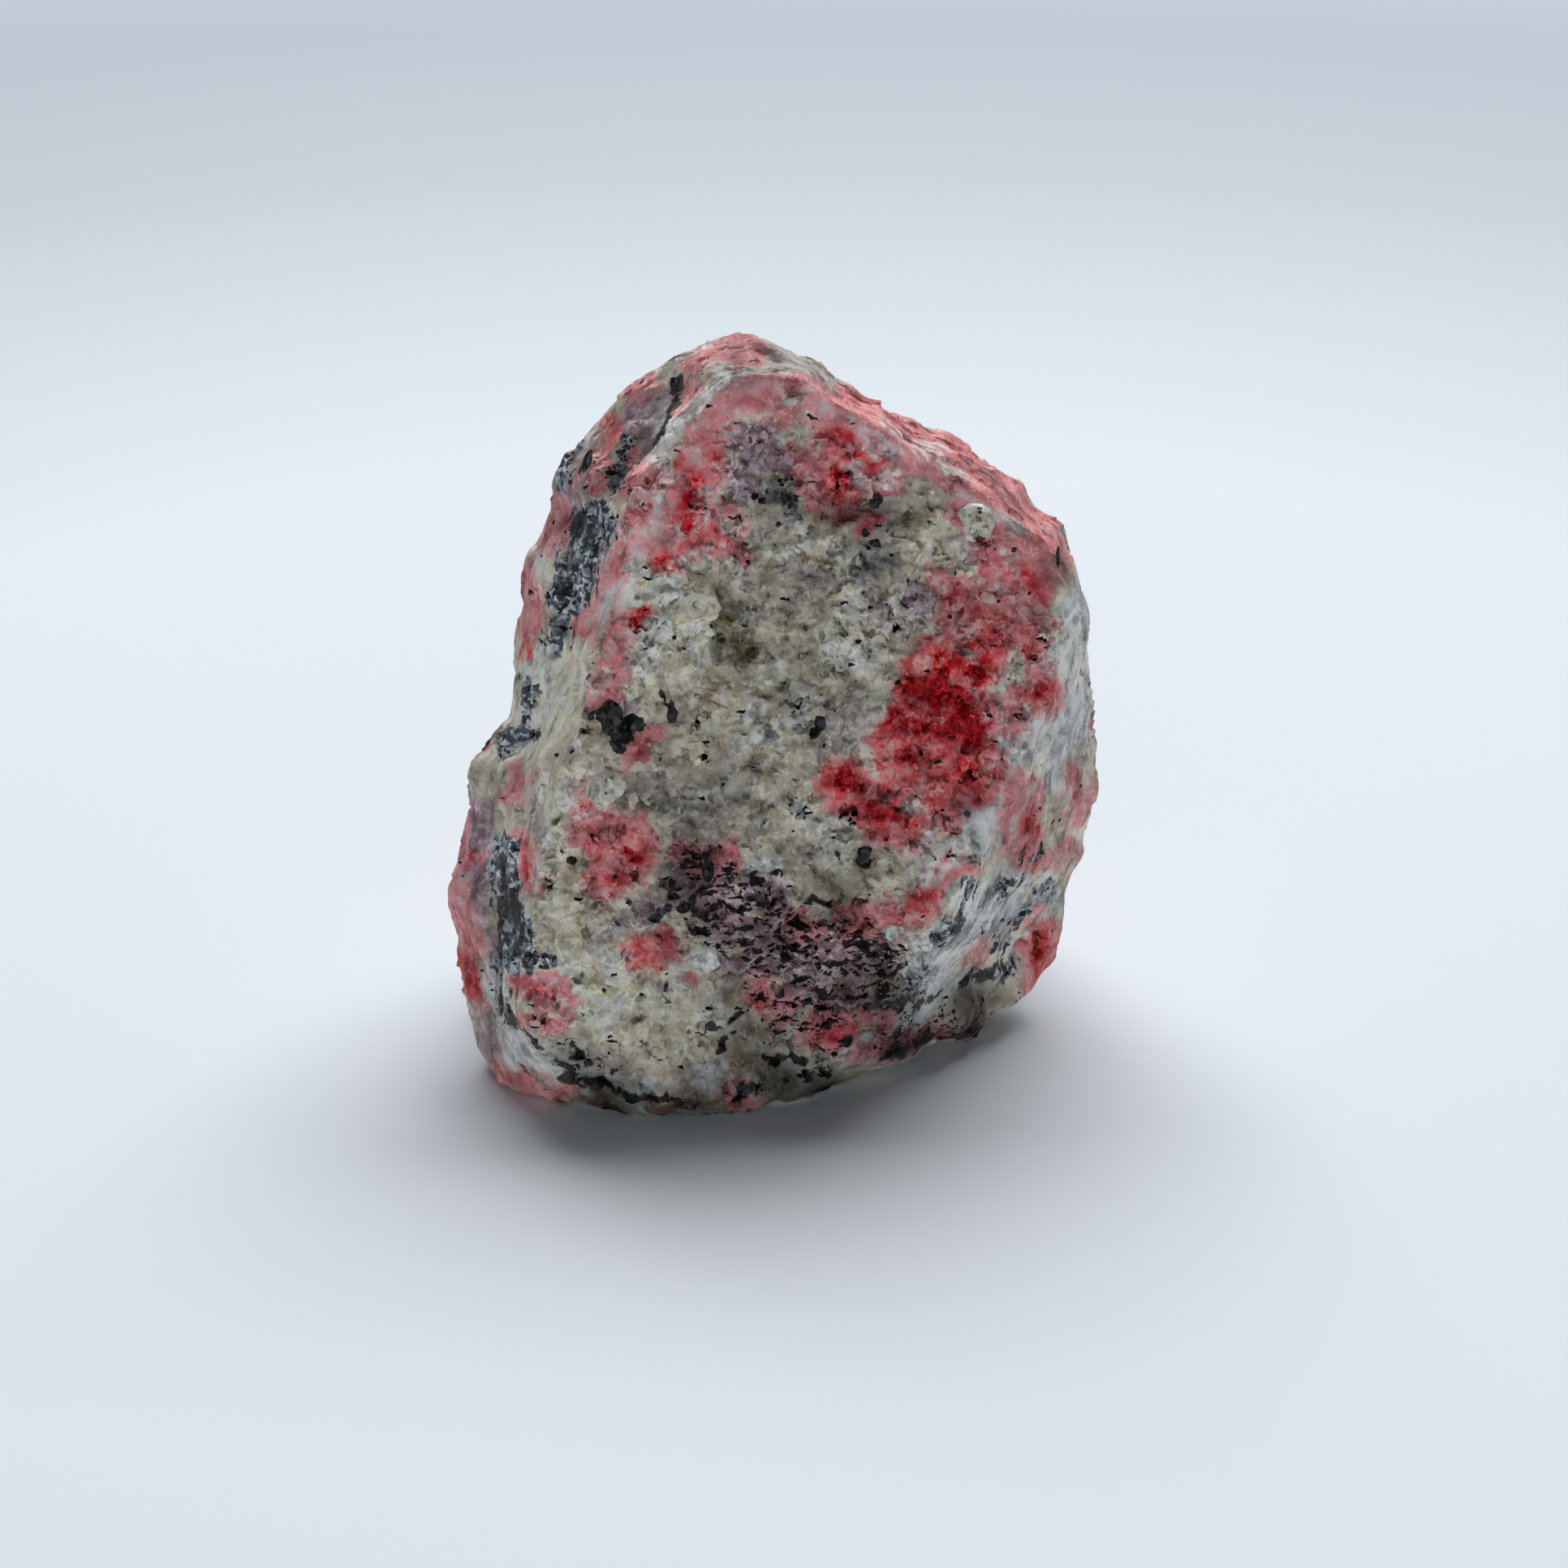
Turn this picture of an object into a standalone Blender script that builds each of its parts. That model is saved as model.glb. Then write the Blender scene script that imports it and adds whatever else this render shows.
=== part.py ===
"""Rhodonite specimen: one hand-sized, layered stone that stands on a flat break.

The stone is three overlapping break-faced blocks grown into one body. Its layers lie parallel to the
broad front face, so the front face is lumpy and the flanks, which cut across the layers, are streaked
with fine ledges. Run with: blender --background --python part.py
"""

import math

import bmesh
import bpy
from mathutils import Vector, noise
from mathutils.geometry import intersect_point_line

MM = 0.001
NAME = "rhodonite_stone"

# Corners of the blocks, in millimetres: X to the right, Y to the back, Z up, the stone resting on Z = 0.
FRONT_RIDGE = (
    (-5.5, 0.5, 57.5),
    (-8, -2.5, 55),
    (-12, -7.5, 47.5),
    (-15, -11.5, 39.5),
    (-16.5, -14.5, 31),
    (-18.5, -17.5, 21.5),
    (-20, -19, 15),
    (-21.5, -19.5, 7),
)
BROW = (
    (0, 0, 57.5),
    (5.5, 0.5, 55),
    (11, 0.5, 52),
    (15.5, 0, 48.5),
    (21, 0, 44),
    (23.5, -0.5, 40.5),
)
RIGHT_EDGE = (
    (22.5, -4, 33),
    (20, -9, 28),
    (17.5, -11.5, 24),
    (15, -14, 20),
    (11, -16.5, 16),
    (9, -17.5, 11.5),
    (8.5, -16.5, 5.5),
)
RIGHT_FLANK = (
    (25.8, 6.5, 37.5),
    (27, 6, 24),
    (27.1, 5, 19.5),
    (26.5, 3.5, 13),
    (23, 1, 8.5),
    (19.5, -3, 3),
    (16.5, -7.5, 1.5),
)
CROWN = (
    (-4, 7, 60.4),
    (1.5, 9, 57.5),
    (5.5, 10, 53.2),
    (12, 9, 50.3),
    (16, 9, 49),
    (20, 8, 46.5),
    (23.3, 7.5, 43.2),
    (-4, 15, 54),
    (8, 16, 47),
)
LEFT_FLANK = (
    (-8, 6, 58.5),
    (-11, 4.5, 57),
    (-14.5, 4, 54),
    (-18, 3, 50),
    (-21, 2, 42.5),
    (-22, 1, 37.5),
    (-22.5, -0.5, 32),
)
LEFT_FOOT = (
    (-24.5, -4.5, 28),
    (-26.5, -6, 26),
    (-27, -7, 22),
    (-28.5, -8, 16),
    (-28, -9, 8),
    (-26.5, -10.5, 1.5),
    (-26, 5, 19),
    (-25, 5, 6),
)
BACK = (
    (-12, 14, 50),
    (-19.5, 13, 35),
    (-10, 21.5, 36),
    (9, 22.5, 34),
    (20, 17, 33),
    (-22, 12, 17),
    (-9, 24, 17),
    (8, 25, 15),
    (21, 17, 14),
    (-15, 18, 2),
    (3, 21, 2),
    (16, 14, 3),
)
# The underside, from which the base plane then cuts the flat that the stone rests on.
UNDERSIDE = (
    (-24, -14, -1),
    (-18, -18.5, -1),
    (-5, -20, -1),
    (0, -17.5, -1),
    (9, -5, -1),
    (14, 4, -1),
    (11, 14, -1),
    (-1, 17, -1),
    (-13, 15, -1),
    (-22, 4, -1),
)
TOE_CRYSTAL = (
    (20, -4, 4),
    (24.5, -2, 4.5),
    (25.2, 0, 7.5),
    (22, -3, 9),
    (19, 2, 3),
    (23.5, 3, 4),
    (24, 3, 8.5),
    (20, 0, 8),
)
BLOCKS = (
    FRONT_RIDGE + BROW + RIGHT_EDGE + RIGHT_FLANK + CROWN + LEFT_FLANK + BACK + UNDERSIDE,
    FRONT_RIDGE[4:] + LEFT_FOOT + UNDERSIDE[:2] + UNDERSIDE[-1:] + ((-5, 5, 25),),
    TOE_CRYSTAL,
)

# The layers' normal is the front face's: a little upwards and to the right of straight ahead.
LAYER_NORMAL = Vector((0.13, -0.93, 0.33)).normalized()

# Seams weathered out of the softer dark layers: the line they follow, half width and depth.
SEAMS = (
    (((-8.5, 2, 57), (-12, -1, 51), (-16, -4.5, 43), (-19.5, -7, 35)), 1.7, 1.8),
    (((-20.5, -7, 32), (-23, -9, 25), (-24, -12, 16), (-24, -14.5, 9)), 1.9, 1.3),
    (((-6, 3, 58.5), (1, 4, 58), (6, 5, 54.5)), 1.2, 0.7),
)
# Hollows (positive depth) and lumps (negative): middle, radius and depth.
DENTS = (
    ((-3, -8, 46), 9, 1.2),
    ((-4, -11, 36), 8, 1.5),
    ((4, -12, 25), 7, 0.6),
    ((13, -9, 30), 6, -0.7),
    ((-14, -15, 29), 3, 0.8),
    ((-9, -18, 14), 6, -0.7),
    ((20, -2, 20), 7, -0.6),
    ((2, -18, 9), 5, 0.6),
    ((-23, 0, 30), 4, 0.9),
    ((0, 24, 26), 9, 1.8),
    ((16, 18, 24), 6, -0.9),
    ((-17, 16, 27), 7, 1.6),
    ((10, 21, 42), 8, 1.5),
    ((-8, 23, 10), 6, -0.8),
    ((24, 12, 25), 6, 1.0),
    ((26.5, 7, 32.5), 5, 1.2),
)
DENT_FADE = 2.0  # how fast a hollow or lump fades out towards its radius

VOXEL = 1.6  # spacing of the surface's points

# Relief: each kind's wavelength in millimetres, then its height in millimetres or its slope.
ROLL = (13.0, 0.8)  # broad unevenness
CHIPS = (7.5, 0.3)  # flat chips of the breaks, with their slope
CHIP_RIM = 0.2  # share of a chip's width over which it eases into the next
CHIP_SPREAD = 37.0  # turns a chip's place into a far-off one, where the noise gives it its own tilt
SEED = 4  # of the noise that tilts the chips
LUMPS = (3.6, 0.45)  # lumps of the front and back breaks
LUMP_SIDE = 0.6  # share of a lump's width that slopes down to the crease round it
LEDGES = (3.2, 0.8)  # ledges of the layers' edges, on the flanks
LEDGE_RUN = 7.0  # how many times longer than wide a ledge is
LEDGE_FRACTAL = (0.9, 2.1, 3, 1.0, 2.0)  # dimension, lacunarity, octaves, offset and gain
# |normal . layer normal| below which a surface is all ledges, and above which it is all lumps
EDGE_ON, FACE_ON = 0.65, 0.9
# how far a surface faces down where the relief starts to fade, and where it has gone
DOWNWARD, UNDERNEATH = 0.6, 0.95
CLOSEST = 0.02  # points nearer each other than this are merged


def blocks_object(collection):
    """The blocks' convex hulls, joined as one object of overlapping closed shells."""
    shells = bmesh.new()
    for corners in BLOCKS:
        points = [shells.verts.new(Vector(corner) * MM) for corner in corners]
        hull = bmesh.ops.convex_hull(shells, input=points)
        loose = [g for g in hull["geom_interior"] if isinstance(g, bmesh.types.BMVert)]
        bmesh.ops.delete(shells, geom=loose, context="VERTS")
    bmesh.ops.recalc_face_normals(shells, faces=shells.faces)
    mesh = bpy.data.meshes.new(NAME + "_blocks")
    shells.to_mesh(mesh)
    shells.free()
    blocks = bpy.data.objects.new(NAME + "_blocks", mesh)
    collection.objects.link(blocks)
    return blocks


def grown_together(blocks):
    """One even, closed surface round all the blocks."""
    remesh = blocks.modifiers.new("grown_together", "REMESH")
    remesh.mode = "VOXEL"
    remesh.voxel_size = VOXEL * MM
    graph = bpy.context.evaluated_depsgraph_get()
    return bpy.data.meshes.new_from_object(blocks.evaluated_get(graph))


def smoothstep(low, high, value):
    """0 below the low value, 1 above the high one, and an even curve between them."""
    share = min(1.0, max(0.0, (value - low) / (high - low)))
    return share * share * (3.0 - 2.0 * share)


def ledge_height(point):
    """Noise drawn out along the layers and squeezed across them."""
    across = point.dot(LAYER_NORMAL)
    along = point - across * LAYER_NORMAL
    stretched = along / LEDGE_RUN + across * LAYER_NORMAL
    return noise.ridged_multi_fractal(stretched / LEDGES[0], *LEDGE_FRACTAL) - 1.0


def lump_height(point):
    """Rounded cells with creases between them, half above and half below the surface."""
    nearest, second = noise.voronoi(point / LUMPS[0])[0][:2]
    return min(1.0, (second - nearest) / LUMP_SIDE) - 0.5


def chip_height(point):
    """Flat facets, each with its own tilt, that ease into each other at their rims."""
    distances, middles = noise.voronoi(point / CHIPS[0])
    tilt = noise.noise_vector(middles[0] * CHIP_SPREAD)
    inside = smoothstep(0.0, CHIP_RIM, distances[1] - distances[0])
    return inside * (point - middles[0] * CHIPS[0]).dot(tilt)


def seam_depth(point):
    """Depth of the deepest seam at a point."""
    depth = 0.0
    for line, half_width, deepest in SEAMS:
        for start, end in zip(line, line[1:]):
            share = intersect_point_line(point, Vector(start), Vector(end))[1]
            foot = Vector(start).lerp(Vector(end), min(1.0, max(0.0, share)))
            gap = (point - foot).length / half_width
            depth = max(depth, deepest * math.exp(-gap * gap))
    return depth


def dent_depth(point):
    """Depth of the hollows at a point, less the height of the lumps."""
    depth = 0.0
    for middle, radius, deepest in DENTS:
        gap = (point - Vector(middle)).length / radius
        depth += deepest * math.exp(-DENT_FADE * gap * gap)
    return depth


def relief(point, normal):
    """Height of the surface above the blocks there, in millimetres; the underside stays even."""
    exposed = 1.0 - smoothstep(DOWNWARD, UNDERNEATH, -normal.z)
    face_on = smoothstep(EDGE_ON, FACE_ON, abs(normal.dot(LAYER_NORMAL)))
    lumps = face_on * LUMPS[1] * lump_height(point)
    ledges = (1.0 - face_on) * LEDGES[1] * ledge_height(point)
    chips = CHIPS[1] * chip_height(point)
    roll = ROLL[1] * noise.noise(point / ROLL[0])
    return exposed * (roll + chips + lumps + ledges - seam_depth(point) - dent_depth(point))


def stand_on_flat(stone):
    """Cuts the underside off at Z = 0 and closes it with one flat face."""
    whole = stone.verts[:] + stone.edges[:] + stone.faces[:]
    bmesh.ops.bisect_plane(
        stone,
        geom=whole,
        dist=CLOSEST * MM,
        plane_co=(0, 0, 0),
        plane_no=(0, 0, -1),
        clear_outer=True,
    )
    bmesh.ops.remove_doubles(stone, verts=stone.verts, dist=CLOSEST * MM)
    rim = [edge for edge in stone.edges if edge.is_boundary]
    for edge in rim:
        for vertex in edge.verts:
            vertex.co.z = 0.0
    bmesh.ops.holes_fill(stone, edges=rim)


def centred(stone):
    """Puts the middle of the stone's outline over the origin."""
    for axis in (0, 1):
        places = [vertex.co[axis] for vertex in stone.verts]
        middle = (min(places) + max(places)) / 2
        for vertex in stone.verts:
            vertex.co[axis] -= middle


def material():
    """Pale pink stone, for the plain model."""
    pink = bpy.data.materials.new("rhodonite")
    pink.use_nodes = True
    surface = pink.node_tree.nodes["Principled BSDF"]
    surface.inputs["Base Color"].default_value = (0.55, 0.33, 0.31, 1.0)
    surface.inputs["Roughness"].default_value = 0.6
    surface.inputs["Metallic"].default_value = 0.0
    return pink


def stone_object(collection, mesh):
    """The surface raised and carved into its relief, stood on its flat and centred."""
    stone = bmesh.new()
    stone.from_mesh(mesh)
    stone.normal_update()
    raised = [v.co + v.normal * relief(v.co / MM, v.normal) * MM for v in stone.verts]
    for vertex, place in zip(stone.verts, raised):
        vertex.co = place
    stand_on_flat(stone)
    centred(stone)
    bmesh.ops.triangulate(stone, faces=stone.faces)
    bmesh.ops.recalc_face_normals(stone, faces=stone.faces)
    stone.to_mesh(mesh)
    stone.free()
    mesh.name = NAME
    mesh.materials.append(material())
    mesh.shade_smooth()
    collection.objects.link(bpy.data.objects.new(NAME, mesh))


def main():
    for old in list(bpy.data.objects):
        bpy.data.objects.remove(old)
    noise.seed_set(SEED)
    specimen = bpy.data.collections.new("rhodonite_specimen")
    guides = bpy.data.collections.new("guides")
    for collection in (specimen, guides):
        bpy.context.scene.collection.children.link(collection)
    blocks = blocks_object(guides)
    blocks.display_type = "WIRE"
    mesh = grown_together(blocks)
    blocks.hide_render = True
    stone_object(specimen, mesh)


if __name__ == "__main__":
    main()
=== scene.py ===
"""Rhodonite specimen: the finish of one broken, layered stone, standing in a pale studio.

Laid out as an add-on and run as a script. Each operator makes one piece, or a group of like pieces, and
the last one makes the studio.
"""

import math
import random

import bpy
import numpy as np
from bpy.props import FloatProperty, FloatVectorProperty, PointerProperty
from mathutils import Matrix, Vector, noise
from mathutils.bvhtree import BVHTree


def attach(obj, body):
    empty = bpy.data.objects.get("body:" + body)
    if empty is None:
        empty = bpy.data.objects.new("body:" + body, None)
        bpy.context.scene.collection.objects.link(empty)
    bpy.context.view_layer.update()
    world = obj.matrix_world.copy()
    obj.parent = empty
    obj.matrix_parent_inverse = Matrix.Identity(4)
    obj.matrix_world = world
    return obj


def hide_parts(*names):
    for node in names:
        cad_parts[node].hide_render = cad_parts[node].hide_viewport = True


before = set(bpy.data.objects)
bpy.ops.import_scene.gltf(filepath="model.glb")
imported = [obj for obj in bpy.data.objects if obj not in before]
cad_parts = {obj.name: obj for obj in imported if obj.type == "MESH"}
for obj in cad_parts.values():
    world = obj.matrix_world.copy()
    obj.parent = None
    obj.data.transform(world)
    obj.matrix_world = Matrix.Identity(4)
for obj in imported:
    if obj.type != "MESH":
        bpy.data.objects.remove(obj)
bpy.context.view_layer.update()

bl_info = {
    "name": "Rhodonite Specimen",
    "version": (1, 0, 0),
    "blender": (4, 5, 0),
    "location": "View3D > Sidebar > Specimen",
    "description": "Makes a rough pink and grey-green mineral specimen and its pale studio",
    "category": "Object",
}

MM = 0.001
NODE = "rhodonite_stone"

# The layers' normal is the broad front face's.
LAYER_NORMAL = Vector((0.13, -0.93, 0.33)).normalized()

# The front view: its camera, and the 1932-pixel square frame in which the minerals are placed.
VIEW_PIXELS = 1932
VIEW_LENS = 72.0
VIEW_SENSOR = 36.0
VIEW_RISE = math.radians(25)
VIEW_REACH = 0.270
VIEW_TARGET = Vector((0.00023, -0.00216, 0.0214))
VIEW_SCALE = VIEW_PIXELS * VIEW_LENS / VIEW_SENSOR  # pixels across, for a slope of 1 to the side
PIXEL = 0.07  # millimetres of stone to a pixel

# Minerals of the front view, some of them partly painted shade. A stroke is its half width, then how far
# right and down each point of its middle line lies, in pixels.
STROKES = {}
STROKES["pink"] = (
    (20, 1180, 625, 1236, 690), (16, 1060, 585, 1100, 600), (18, 988, 560, 1008, 616),
    (16, 1156, 708, 1200, 730), (30, 930, 484, 1050, 508, 1140, 552, 1220, 604, 1290, 668),
    (24, 1060, 478, 1130, 522, 1200, 562, 1262, 602, 1312, 655), (32, 1040, 556, 1034, 604),
    (18, 1080, 560, 1115, 575), (26, 892, 498, 862, 540, 850, 600, 852, 655), (14, 776, 560, 770, 600),
    (20, 884, 626, 905, 640), (22, 1176, 736, 1200, 772), (20, 1250, 858, 1252, 892),
    (22, 850, 640, 876, 668), (18, 822, 600, 792, 660), (20, 800, 620, 762, 690, 740, 745),
    (18, 752, 680, 728, 748, 716, 775), (22, 768, 772, 756, 828, 745, 850), (34, 1255, 700, 1262, 770),
    (28, 1215, 660, 1240, 720), (26, 1226, 792, 1180, 772, 1205, 830), (24, 1292, 705, 1300, 655),
    (20, 1282, 800, 1286, 860), (62, 1160, 856, 1178, 940), (36, 1124, 930, 1136, 994, 1156, 1000),
    (32, 1040, 966, 1092, 1012), (18, 1100, 1030, 1132, 1034), (30, 725, 1012, 776, 1032),
    (28, 782, 1058, 742, 1084), (18, 722, 985, 714, 1010), (15, 798, 906, 786, 934),
    (18, 842, 1050, 880, 1070), (12, 896, 1046, 905, 1064), (24, 790, 1170, 816, 1168),
    (15, 978, 1130, 1000, 1140), (26, 1050, 1132, 1090, 1140), (16, 1120, 1126, 1150, 1108),
    (15, 1150, 1090, 1195, 1072), (11, 1160, 1058, 1174, 1050), (24, 944, 1226, 962, 1236),
    (24, 1008, 1270, 1032, 1270), (15, 1060, 1262, 1086, 1254), (9, 856, 1211), (16, 900, 1352, 925, 1352),
    (9, 572, 1000, 562, 1060, 560, 1100), (16, 566, 1100, 574, 1180), (12, 588, 1200, 596, 1240),
    (18, 612, 1320, 650, 1342, 692, 1348), (24, 662, 1216, 690, 1234), (13, 650, 1256, 688, 1262),
    (16, 655, 700, 652, 770), (22, 680, 662, 700, 640), (14, 640, 955, 630, 980), (14, 646, 1036, 655, 1092),
    (13, 752, 522, 740, 590), (12, 780, 486, 800, 470), (26, 806, 596, 792, 650), (22, 836, 630, 824, 684),
    (24, 878, 636, 898, 668), (14, 850, 450, 900, 428), (18, 886, 432, 925, 428), (13, 850, 480, 842, 500),
    (30, 1262, 978, 1258, 1030), (13, 1326, 948, 1320, 1010), (15, 1262, 1064, 1276, 1055),
    (8, 1194, 1186, 1212, 1162), (10, 1318, 1040, 1300, 1062), (24, 1280, 1146, 1292, 1190, 1264, 1212),
    (18, 1060, 1294, 1180, 1278), (12, 1200, 1268, 1240, 1240),
)
STROKES["rose"] = (
    (36, 1140, 850, 1188, 905), (34, 1122, 892, 1134, 950, 1150, 975), (26, 1100, 905, 1112, 960),
    (30, 1140, 935, 1172, 965), (12, 1180, 735, 1206, 752), (20, 1062, 972, 1100, 985),
    (10, 1064, 650, 1080, 640), (18, 1122, 816, 1150, 806), (14, 1018, 546, 1040, 560),
    (14, 842, 575, 822, 660), (30, 1176, 930, 1196, 966), (26, 1222, 796, 1196, 822),
    (28, 1036, 964, 1064, 985, 1090, 1012), (10, 1110, 1020, 1128, 1012), (20, 874, 560, 852, 606, 838, 660),
    (12, 870, 640, 880, 660), (8, 812, 694, 822, 660), (8, 886, 590, 878, 606), (12, 1030, 538, 1052, 546),
    (14, 1036, 568, 1084, 572), (17, 1026, 590, 1050, 616), (13, 776, 1036, 796, 1056),
    (10, 742, 1084, 766, 1082), (10, 730, 1030, 744, 1050), (12, 1262, 706, 1284, 730),
    (9, 1216, 748, 1226, 756), (8, 1214, 700, 1236, 703), (9, 1254, 770, 1272, 800),
    (11, 1264, 860, 1290, 846), (11, 1252, 1004, 1280, 1022), (8, 1264, 1056, 1274, 1056),
    (9, 752, 524, 758, 540), (11, 776, 764, 796, 756), (8, 786, 640, 800, 620), (12, 572, 1180, 582, 1216),
    (9, 650, 655, 672, 642), (14, 1288, 1150, 1270, 1204), (13, 1012, 1272, 1040, 1278),
    (11, 1122, 1114, 1146, 1108), (18, 786, 1168, 816, 1166), (9, 640, 1210, 668, 1220), (9, 586, 1056),
    (10, 642, 1044, 652, 1076), (8, 900, 1050, 880, 1060), (8, 790, 910, 796, 930),
    (7, 1040, 1140, 1070, 1136),
)
STROKES["red"] = (
    (16, 1120, 838, 1140, 850), (14, 1150, 840, 1182, 858), (15, 1168, 820, 1202, 832),
    (18, 1114, 884, 1150, 894), (22, 1178, 886, 1198, 906), (13, 1166, 850, 1156, 880),
    (9, 1192, 962, 1182, 932), (8, 1124, 930, 1132, 946), (10, 1030, 958, 1052, 970),
    (12, 1070, 986, 1082, 1002), (5, 1098, 1004), (9, 1212, 812, 1222, 822), (6, 1276, 858, 1290, 848),
    (5, 1268, 712, 1280, 726), (7, 1164, 736, 1174, 744), (8, 1028, 538, 1044, 542),
    (4, 1040, 567, 1076, 569), (7, 1022, 586, 1036, 592), (7, 856, 600, 848, 640), (5, 812, 690, 824, 690),
    (6, 784, 764, 794, 760), (6, 782, 1044, 794, 1052), (6, 750, 1084, 762, 1082), (5, 577, 1190, 580, 1208),
    (5, 1026, 1275, 1034, 1279), (6, 1128, 1112, 1140, 1109), (6, 1264, 1020, 1278, 1020), (6, 935, 1241),
    (6, 1152, 1073, 1160, 1077), (5, 916, 690), (6, 650, 790, 648, 804), (7, 1282, 1164, 1268, 1204),
)
STROKES["mauve"] = (
    (22, 882, 546, 940, 540), (22, 930, 560, 988, 574), (16, 896, 580, 920, 608), (20, 735, 862, 760, 862),
    (13, 1224, 862, 1238, 905), (15, 1184, 990, 1200, 986), (26, 900, 1146, 1000, 1162, 1060, 1184),
    (14, 880, 1186, 940, 1196), (20, 930, 1102, 960, 1110), (24, 980, 1216, 1050, 1236),
    (16, 850, 1066, 890, 1090), (22, 842, 1092, 880, 1112), (16, 600, 1280, 606, 1318),
    (22, 588, 1000, 582, 1060, 584, 1120), (12, 600, 1150, 604, 1190), (20, 796, 500, 784, 560),
    (14, 716, 560, 706, 600), (16, 732, 600, 700, 612), (14, 800, 1122, 780, 1130),
)
STROKES["grey"] = (
    (16, 936, 600, 972, 620), (13, 1066, 690, 1096, 688), (8, 1240, 1150, 1290, 1104),
    (7, 1150, 1180, 1190, 1140), (7, 1110, 1226, 1150, 1196), (6, 1200, 1120, 1230, 1092),
)
STROKES["sugar"] = (
    (16, 1000, 1010, 1020, 1030), (14, 975, 676, 990, 690), (14, 1026, 678, 1046, 690),
    (15, 1036, 742, 1060, 750), (20, 1030, 804, 1052, 820), (20, 942, 822, 965, 842),
    (13, 850, 988, 864, 980), (13, 900, 1070, 930, 1050), (15, 760, 1246, 800, 1240),
    (22, 850, 1186, 872, 1178), (14, 700, 1200, 690, 1240), (12, 900, 930, 920, 924),
)
STROKES["white"] = (
    (8, 920, 452, 860, 495, 800, 565), (7, 772, 700, 740, 762), (22, 1330, 745, 1328, 890),
    (16, 1308, 800, 1302, 870), (22, 1272, 896, 1256, 930), (18, 1300, 880, 1306, 960),
    (26, 1236, 940, 1196, 1040, 1150, 1090), (26, 1240, 1090, 1190, 1150, 1130, 1190),
    (20, 1150, 1220, 1092, 1272), (18, 1230, 1140, 1268, 1120), (12, 1108, 1150),
    (13, 1282, 1130, 1312, 1096), (13, 612, 1190, 618, 1276, 650, 1305),
    (13, 660, 1310, 720, 1335, 790, 1345), (15, 880, 1320, 850, 1332), (10, 936, 1068, 952, 1068),
)
STROKES["cream"] = (
    (22, 836, 735, 850, 755), (26, 816, 795, 852, 800), (30, 1150, 656, 1166, 684),
    (15, 1150, 705, 1172, 708), (18, 912, 858), (15, 780, 848), (12, 880, 878), (15, 845, 915, 866, 934),
    (26, 700, 1122, 722, 1180), (20, 690, 1050, 682, 1100), (26, 1100, 1088, 1040, 1094),
    (20, 1000, 1084, 960, 1100), (28, 740, 1200, 762, 1222), (18, 744, 974, 762, 980),
    (14, 686, 830, 692, 900), (16, 690, 950, 686, 1040), (22, 950, 790, 1010, 800),
    (20, 1190, 655, 1206, 668), (24, 740, 1266, 820, 1276, 860, 1290), (20, 700, 1250, 760, 1236),
    (20, 886, 640, 900, 662),
)
STROKES["beige"] = (
    (26, 956, 442, 1026, 468), (16, 822, 480, 800, 540), (14, 1062, 640, 1086, 650),
    (12, 736, 520, 724, 560), (18, 886, 640, 906, 670), (20, 742, 970, 766, 978), (18, 1230, 850, 1250, 860),
    (15, 796, 972, 816, 985), (20, 1180, 668, 1206, 690), (24, 1080, 740, 1120, 770),
    (22, 1040, 880, 1072, 900), (18, 1010, 940, 1050, 930), (16, 588, 1020, 584, 1080),
    (14, 870, 1010, 900, 1000), (16, 980, 700, 1010, 716), (16, 756, 1140, 740, 1160),
    (16, 590, 1240, 600, 1290),
)
# Olive-brown in the hollows of the front, partly painted shade there.
STROKES["olive_and_painted_shade"] = (
    (15, 882, 752, 896, 768), (18, 906, 790, 922, 802), (9, 1128, 645), (7, 877, 838), (9, 1078, 975),
    (8, 930, 992), (10, 930, 940, 945, 930), (9, 1000, 690, 1020, 700),
)
STROKES["dark"] = (
    (24, 736, 640, 702, 735), (13, 690, 758, 682, 790), (10, 656, 850, 650, 885), (11, 620, 915, 656, 900),
    (22, 620, 1045, 626, 1120), (19, 628, 1110, 642, 1180), (6, 615, 1180, 625, 1230),
    (12, 650, 1188, 678, 1182), (9, 775, 545, 762, 600), (8, 715, 552, 708, 600), (9, 640, 840, 648, 870),
    (6, 1274, 1098, 1290, 1084), (5, 1234, 1104, 1246, 1090), (4, 1262, 1060, 1280, 1045),
    (7, 1184, 1212, 1214, 1199), (5, 1170, 1138, 1184, 1122), (5, 1154, 1156, 1166, 1142),
    (6, 1220, 1172, 1236, 1158), (5, 1246, 1138, 1262, 1122), (5, 1228, 1194, 1242, 1180),
    (5, 1128, 1212, 1144, 1198), (4, 1190, 1100, 1200, 1090), (4, 1206, 1150, 1216, 1140),
    (5, 1082, 1170, 1094, 1160), (7, 1066, 1238, 1110, 1226),
)
STROKES["frost"] = (
    (6, 918, 456, 866, 492, 806, 562), (5, 772, 700, 740, 762), (4, 1043, 511, 1097, 544),
    (3, 960, 492, 1020, 503), (3, 1120, 540, 1190, 592), (3, 1180, 606, 1262, 660),
    (3, 1090, 520, 1160, 556), (9, 872, 484, 856, 500), (10, 826, 520, 812, 540),
    (9, 610, 1184, 616, 1270, 640, 1300), (4, 648, 1296, 700, 1326, 730, 1336), (4, 1216, 1010, 1150, 1090),
    (4, 1276, 970, 1230, 1040), (4, 1240, 1110, 1180, 1176, 1130, 1230), (4, 1296, 1120, 1240, 1170),
    (3, 960, 1330, 1040, 1296, 1086, 1276), (3, 668, 1010, 664, 1100),
)
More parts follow.
